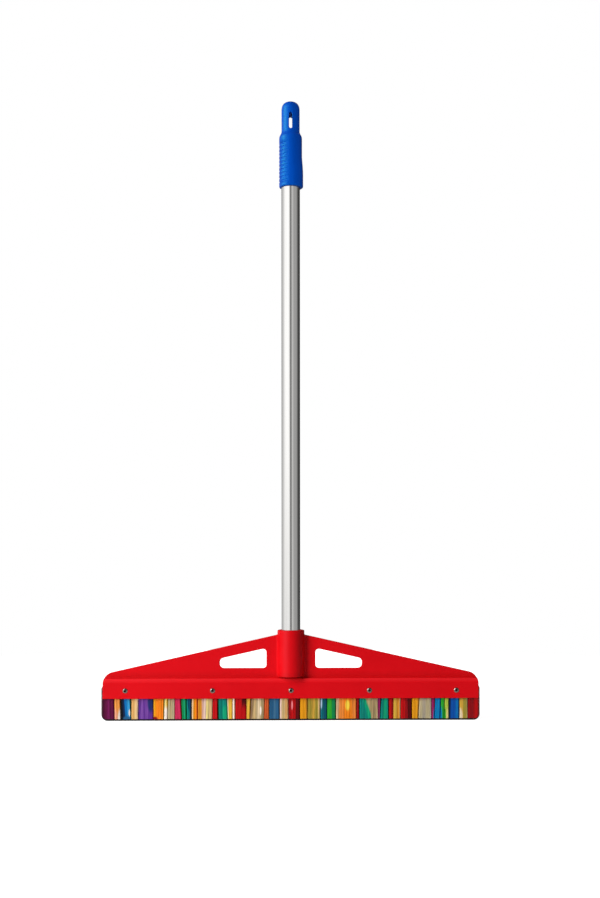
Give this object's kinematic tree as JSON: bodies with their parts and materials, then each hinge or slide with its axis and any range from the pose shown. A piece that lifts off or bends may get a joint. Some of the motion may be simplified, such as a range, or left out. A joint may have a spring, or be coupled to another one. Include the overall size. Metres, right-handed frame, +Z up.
{
  "type": "floor squeegee",
  "caption": "Floor squeegee: bright tube handle with a ribbed grip, screwed into a moulded gusset head whose riveted band clamps a rubber blade faced with soft coloured strips.",
  "frame": {"origin": "on the floor under the handle's axis, at the middle of the blade's lower edge", "axes": "+Z up along the handle, +X along the blade, the front with the rivet heads and strips faces -Y"},
  "size_m": [0.61, 0.0434, 0.9969],
  "materials": {
    "red_moulding": "glossy moulded polypropylene",
    "red_bar": "red powder coat on flat steel",
    "blade_rubber": "matt dark rubber sheet",
    "rivet_aluminium": "bright blind rivet",
    "mandrel_steel": "broken plain steel pin",
    "washer_fibre": "natural nylon washer",
    "ferrule_nylon": "black moulded nylon",
    "bright_tube": "polished plated steel tube",
    "grip_blue": "glossy moulded polypropylene",
    "strip_amber": "soft glossy vinyl with drawn streaks",
    "strip_apricot": "soft glossy vinyl with drawn streaks",
    "strip_blue": "soft glossy vinyl with drawn streaks",
    "strip_blush": "soft glossy vinyl with drawn streaks",
    "strip_cerulean": "soft glossy vinyl with drawn streaks",
    "strip_cream": "soft glossy vinyl with drawn streaks",
    "strip_crimson": "soft glossy vinyl with drawn streaks",
    "strip_emerald": "soft glossy vinyl with drawn streaks",
    "strip_gold": "soft glossy vinyl with drawn streaks",
    "strip_green": "soft glossy vinyl with drawn streaks",
    "strip_grey": "soft glossy vinyl with drawn streaks",
    "strip_khaki": "soft glossy vinyl with drawn streaks",
    "strip_lime": "soft glossy vinyl with drawn streaks",
    "strip_magenta": "soft glossy vinyl with drawn streaks",
    "strip_maroon": "soft glossy vinyl with drawn streaks",
    "strip_navy": "soft glossy vinyl with drawn streaks",
    "strip_ochre": "soft glossy vinyl with drawn streaks",
    "strip_olive": "soft glossy vinyl with drawn streaks",
    "strip_orange": "soft glossy vinyl with drawn streaks",
    "strip_plum": "soft glossy vinyl with drawn streaks",
    "strip_red": "soft glossy vinyl with drawn streaks",
    "strip_royal_blue": "soft glossy vinyl with drawn streaks",
    "strip_rust": "soft glossy vinyl with drawn streaks",
    "strip_sage": "soft glossy vinyl with drawn streaks",
    "strip_sand": "soft glossy vinyl with drawn streaks",
    "strip_steel_blue": "soft glossy vinyl with drawn streaks",
    "strip_tan": "soft glossy vinyl with drawn streaks",
    "strip_taupe": "soft glossy vinyl with drawn streaks",
    "strip_teal": "soft glossy vinyl with drawn streaks",
    "strip_violet": "soft glossy vinyl with drawn streaks",
    "strip_yellow": "soft glossy vinyl with drawn streaks"
  },
  "bodies": {
    "head": {"blade_rivets": "rivet_aluminium", "head_frame": "red_moulding", "rear_clamp_bar": "red_bar", "rivet_mandrels": "mandrel_steel", "rubber_blade": "blade_rubber", "strip_01_plum": "strip_plum", "strip_02_apricot": "strip_apricot", "strip_03_blue": "strip_blue", "strip_04_tan": "strip_tan", "strip_05_violet": "strip_violet", "strip_06_orange": "strip_orange", "strip_07_cream": "strip_cream", "strip_08_sage": "strip_sage", "strip_09_crimson": "strip_crimson", "strip_10_green": "strip_green", "strip_11_navy": "strip_navy", "strip_12_orange": "strip_orange", "strip_13_ochre": "strip_ochre", "strip_14_blush": "strip_blush", "strip_15_red": "strip_red", "strip_16_teal": "strip_teal", "strip_17_yellow": "strip_yellow", "strip_18_cream": "strip_cream", "strip_19_maroon": "strip_maroon", "strip_20_gold": "strip_gold", "strip_21_khaki": "strip_khaki", "strip_22_rust": "strip_rust", "strip_23_steel_blue": "strip_steel_blue", "strip_24_sand": "strip_sand", "strip_25_crimson": "strip_crimson", "strip_26_amber": "strip_amber", "strip_27_olive": "strip_olive", "strip_28_teal": "strip_teal", "strip_29_green": "strip_green", "strip_30_orange": "strip_orange", "strip_31_maroon": "strip_maroon", "strip_32_emerald": "strip_emerald", "strip_33_taupe": "strip_taupe", "strip_34_magenta": "strip_magenta", "strip_35_teal": "strip_teal", "strip_36_red": "strip_red", "strip_37_gold": "strip_gold", "strip_38_maroon": "strip_maroon", "strip_39_amber": "strip_amber", "strip_40_grey": "strip_grey", "strip_41_magenta": "strip_magenta", "strip_42_cerulean": "strip_cerulean", "strip_43_green": "strip_green", "strip_44_lime": "strip_lime", "strip_45_royal_blue": "strip_royal_blue", "strip_46_gold": "strip_gold", "strip_47_maroon": "strip_maroon"},
    "washer": {"thrust_washer": "washer_fibre"},
    "handle": {"threaded_ferrule": "ferrule_nylon", "handle_tube": "bright_tube", "grip": "grip_blue"}
  },
  "joints": [
    {"name": "handle_lift", "type": "slide", "parent": "head", "child": "washer", "axis": [0, 0, 1], "range_m": [0, 0.0255]},
    {"name": "handle_unscrew", "type": "hinge", "parent": "washer", "child": "handle", "pos_m": [0, 0, 0.1343], "axis": [0, 0, 1], "range_deg": [0, 1800]}
  ],
  "couplings": [
    {"joint": "handle_lift", "follows": "handle_unscrew", "m_per_rad": 0.00080851}
  ]
}
